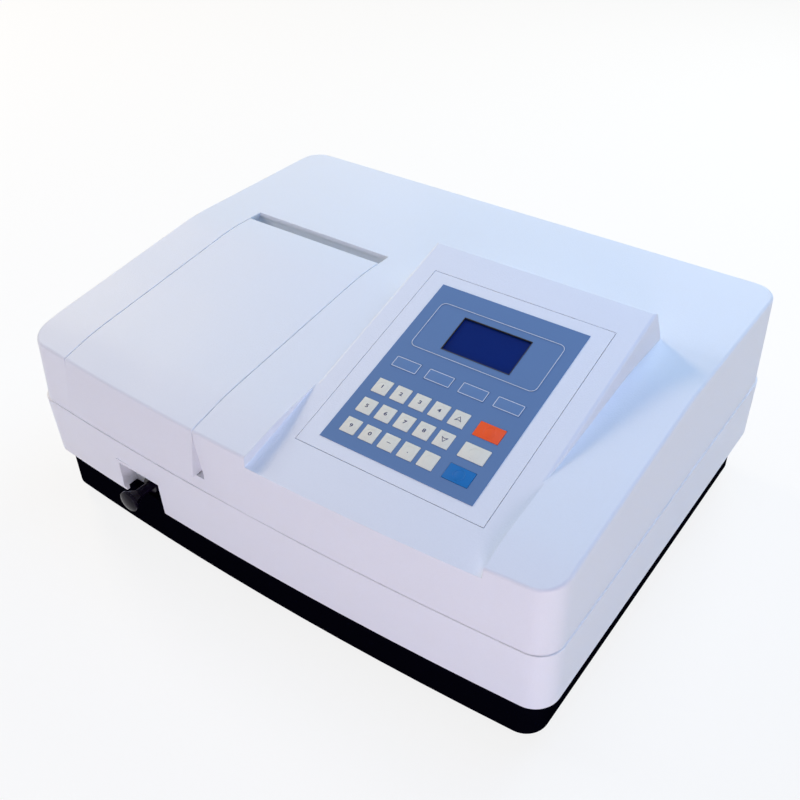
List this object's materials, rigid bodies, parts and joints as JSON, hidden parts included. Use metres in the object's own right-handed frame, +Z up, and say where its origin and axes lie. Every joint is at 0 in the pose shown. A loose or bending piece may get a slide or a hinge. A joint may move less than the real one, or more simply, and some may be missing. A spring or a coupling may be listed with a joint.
{
  "type": "uv-vis spectrophotometer",
  "caption": "Benchtop spectrophotometer with a hinged sample compartment lid, a pull-rod cell changer and a sloped membrane keypad with a display.",
  "frame": {"origin": "bottom centre of the whole instrument's bounding box, on the bench", "axes": "+X to the instrument's right as seen from the front, +Y to its back, +Z up"},
  "size_m": [0.49, 0.398, 0.2165],
  "materials": {
    "cover_plastic": "moulded off-white plastic with a fine texture",
    "base_black": "black powder coat",
    "foot_rubber": "black rubber",
    "overlay_blue": "printed membrane, satin",
    "display": "dark blue display window",
    "key_ivory": "ivory membrane keys",
    "key_red": "red membrane key",
    "key_blue": "blue membrane key",
    "chamber_black": "matt black, so that it reflects little light",
    "window_glass": "clear windows",
    "anodised_black": "black anodised aluminium",
    "steel": "bright steel",
    "knob_black": "black plastic, polished",
    "casting": "cast aluminium",
    "housing_black": "matt black paint",
    "mirror": "aluminised glass",
    "grating": "ruled aluminised glass",
    "bare_aluminium": "bare aluminium",
    "motor_steel": "dark steel cans",
    "lamp_glass": "lamp glass over a metal base",
    "detector_grey": "grey paint",
    "board_green": "green circuit board",
    "supply_steel": "zinc plated steel",
    "fan_black": "black plastic",
    "inlet_black": "black plastic",
    "rocker_red": "red plastic"
  },
  "bodies": {
    "case": {"upper_cover": "cover_plastic", "lower_cover": "cover_plastic", "panel_plate": "cover_plastic", "base_pan": "base_black", "rubber_feet": "foot_rubber", "panel_overlay": "overlay_blue", "lcd_display": "display", "sample_chamber": "chamber_black", "chamber_windows": "window_glass", "slit_plates": "anodised_black", "carriage_rails": "steel", "hinge_brackets": "steel", "cover_screws": "steel", "io_sockets": "steel", "rod_bush": "knob_black", "optical_bench": "casting", "monochromator_housing": "housing_black", "monochromator_cover": "housing_black", "mono_mirrors": "mirror", "lamp_housing": "bare_aluminium", "drive_motors": "motor_steel", "tungsten_lamp": "lamp_glass", "deuterium_lamp": "lamp_glass", "photodetector": "detector_grey", "main_board": "board_green", "power_supply": "supply_steel", "fan_frame": "fan_black", "mains_inlet": "inlet_black"},
    "lid": {"sample_lid": "cover_plastic"},
    "changer": {"cell_carriage": "anodised_black", "changer_rod": "knob_black", "pull_knob": "knob_black"},
    "grating": {"grating_table": "bare_aluminium", "diffraction_grating": "grating"},
    "lamp_mirror": {"source_mirror": "mirror"},
    "wheel": {"filter_wheel": "anodised_black"},
    "fan": {"fan_rotor": "fan_black"},
    "rocker": {"power_rocker": "rocker_red"},
    "key_1": {"key_1": "key_ivory"},
    "key_2": {"key_2": "key_ivory"},
    "key_3": {"key_3": "key_ivory"},
    "key_4": {"key_4": "key_ivory"},
    "key_up": {"key_up": "key_ivory"},
    "key_5": {"key_5": "key_ivory"},
    "key_6": {"key_6": "key_ivory"},
    "key_7": {"key_7": "key_ivory"},
    "key_8": {"key_8": "key_ivory"},
    "key_down": {"key_down": "key_ivory"},
    "key_9": {"key_9": "key_ivory"},
    "key_0": {"key_0": "key_ivory"},
    "key_minus": {"key_minus": "key_ivory"},
    "key_dot": {"key_dot": "key_ivory"},
    "key_blank": {"key_blank": "key_ivory"},
    "key_wide_blue": {"key_wide_blue": "key_blue"},
    "key_wide_white": {"key_wide_white": "key_ivory"},
    "key_wide_red": {"key_wide_red": "key_red"},
    "key_mode_1": {"key_mode_1": "overlay_blue"},
    "key_mode_2": {"key_mode_2": "overlay_blue"},
    "key_mode_3": {"key_mode_3": "overlay_blue"},
    "key_mode_4": {"key_mode_4": "overlay_blue"}
  },
  "joints": [
    {"name": "lid_hinge", "type": "hinge", "parent": "case", "child": "lid", "pos_m": [-0.1218, 0.037, 0.176], "axis": [-1, 0, 0], "range_deg": [0, 78]},
    {"name": "changer_slide", "type": "slide", "parent": "case", "child": "changer", "axis": [0, -1, 0], "range_m": [0, 0.042]},
    {"name": "grating_turn", "type": "hinge", "parent": "case", "child": "grating", "pos_m": [0.1, -0.1, 0.07], "axis": [0, 0, 1], "range_deg": [-20, 20]},
    {"name": "lamp_mirror_turn", "type": "hinge", "parent": "case", "child": "lamp_mirror", "pos_m": [0.025, 0.09, 0.084], "axis": [0, 0, 1], "range_deg": [-90, 0]},
    {"name": "filter_turn", "type": "hinge", "parent": "case", "child": "wheel", "pos_m": [0.041, 0.04, 0.084], "axis": [0, 1, 0], "continuous": true},
    {"name": "fan_spin", "type": "hinge", "parent": "case", "child": "fan", "pos_m": [0.155, 0.18, 0.144], "axis": [0, 1, 0], "continuous": true},
    {"name": "power_switch", "type": "hinge", "parent": "case", "child": "rocker", "pos_m": [-0.19, 0.1945, 0.077], "axis": [-1, 0, 0], "range_deg": [0, 14]},
    {"name": "key_1_press", "type": "slide", "parent": "case", "child": "key_1", "axis": [0, 0.2823, -0.9593], "range_m": [0, 0.00035], "stiffness_N_per_m": 400},
    {"name": "key_2_press", "type": "slide", "parent": "case", "child": "key_2", "axis": [0, 0.2823, -0.9593], "range_m": [0, 0.00035], "stiffness_N_per_m": 400},
    {"name": "key_3_press", "type": "slide", "parent": "case", "child": "key_3", "axis": [0, 0.2823, -0.9593], "range_m": [0, 0.00035], "stiffness_N_per_m": 400},
    {"name": "key_4_press", "type": "slide", "parent": "case", "child": "key_4", "axis": [0, 0.2823, -0.9593], "range_m": [0, 0.00035], "stiffness_N_per_m": 400},
    {"name": "key_up_press", "type": "slide", "parent": "case", "child": "key_up", "axis": [0, 0.2823, -0.9593], "range_m": [0, 0.00035], "stiffness_N_per_m": 400},
    {"name": "key_5_press", "type": "slide", "parent": "case", "child": "key_5", "axis": [0, 0.2823, -0.9593], "range_m": [0, 0.00035], "stiffness_N_per_m": 400},
    {"name": "key_6_press", "type": "slide", "parent": "case", "child": "key_6", "axis": [0, 0.2823, -0.9593], "range_m": [0, 0.00035], "stiffness_N_per_m": 400},
    {"name": "key_7_press", "type": "slide", "parent": "case", "child": "key_7", "axis": [0, 0.2823, -0.9593], "range_m": [0, 0.00035], "stiffness_N_per_m": 400},
    {"name": "key_8_press", "type": "slide", "parent": "case", "child": "key_8", "axis": [0, 0.2823, -0.9593], "range_m": [0, 0.00035], "stiffness_N_per_m": 400},
    {"name": "key_down_press", "type": "slide", "parent": "case", "child": "key_down", "axis": [0, 0.2823, -0.9593], "range_m": [0, 0.00035], "stiffness_N_per_m": 400},
    {"name": "key_9_press", "type": "slide", "parent": "case", "child": "key_9", "axis": [0, 0.2823, -0.9593], "range_m": [0, 0.00035], "stiffness_N_per_m": 400},
    {"name": "key_0_press", "type": "slide", "parent": "case", "child": "key_0", "axis": [0, 0.2823, -0.9593], "range_m": [0, 0.00035], "stiffness_N_per_m": 400},
    {"name": "key_minus_press", "type": "slide", "parent": "case", "child": "key_minus", "axis": [0, 0.2823, -0.9593], "range_m": [0, 0.00035], "stiffness_N_per_m": 400},
    {"name": "key_dot_press", "type": "slide", "parent": "case", "child": "key_dot", "axis": [0, 0.2823, -0.9593], "range_m": [0, 0.00035], "stiffness_N_per_m": 400},
    {"name": "key_blank_press", "type": "slide", "parent": "case", "child": "key_blank", "axis": [0, 0.2823, -0.9593], "range_m": [0, 0.00035], "stiffness_N_per_m": 400},
    {"name": "key_wide_blue_press", "type": "slide", "parent": "case", "child": "key_wide_blue", "axis": [0, 0.2823, -0.9593], "range_m": [0, 0.00035], "stiffness_N_per_m": 400},
    {"name": "key_wide_white_press", "type": "slide", "parent": "case", "child": "key_wide_white", "axis": [0, 0.2823, -0.9593], "range_m": [0, 0.00035], "stiffness_N_per_m": 400},
    {"name": "key_wide_red_press", "type": "slide", "parent": "case", "child": "key_wide_red", "axis": [0, 0.2823, -0.9593], "range_m": [0, 0.00035], "stiffness_N_per_m": 400},
    {"name": "key_mode_1_press", "type": "slide", "parent": "case", "child": "key_mode_1", "axis": [0, 0.2823, -0.9593], "range_m": [0, 0.00035], "stiffness_N_per_m": 400},
    {"name": "key_mode_2_press", "type": "slide", "parent": "case", "child": "key_mode_2", "axis": [0, 0.2823, -0.9593], "range_m": [0, 0.00035], "stiffness_N_per_m": 400},
    {"name": "key_mode_3_press", "type": "slide", "parent": "case", "child": "key_mode_3", "axis": [0, 0.2823, -0.9593], "range_m": [0, 0.00035], "stiffness_N_per_m": 400},
    {"name": "key_mode_4_press", "type": "slide", "parent": "case", "child": "key_mode_4", "axis": [0, 0.2823, -0.9593], "range_m": [0, 0.00035], "stiffness_N_per_m": 400}
  ]
}
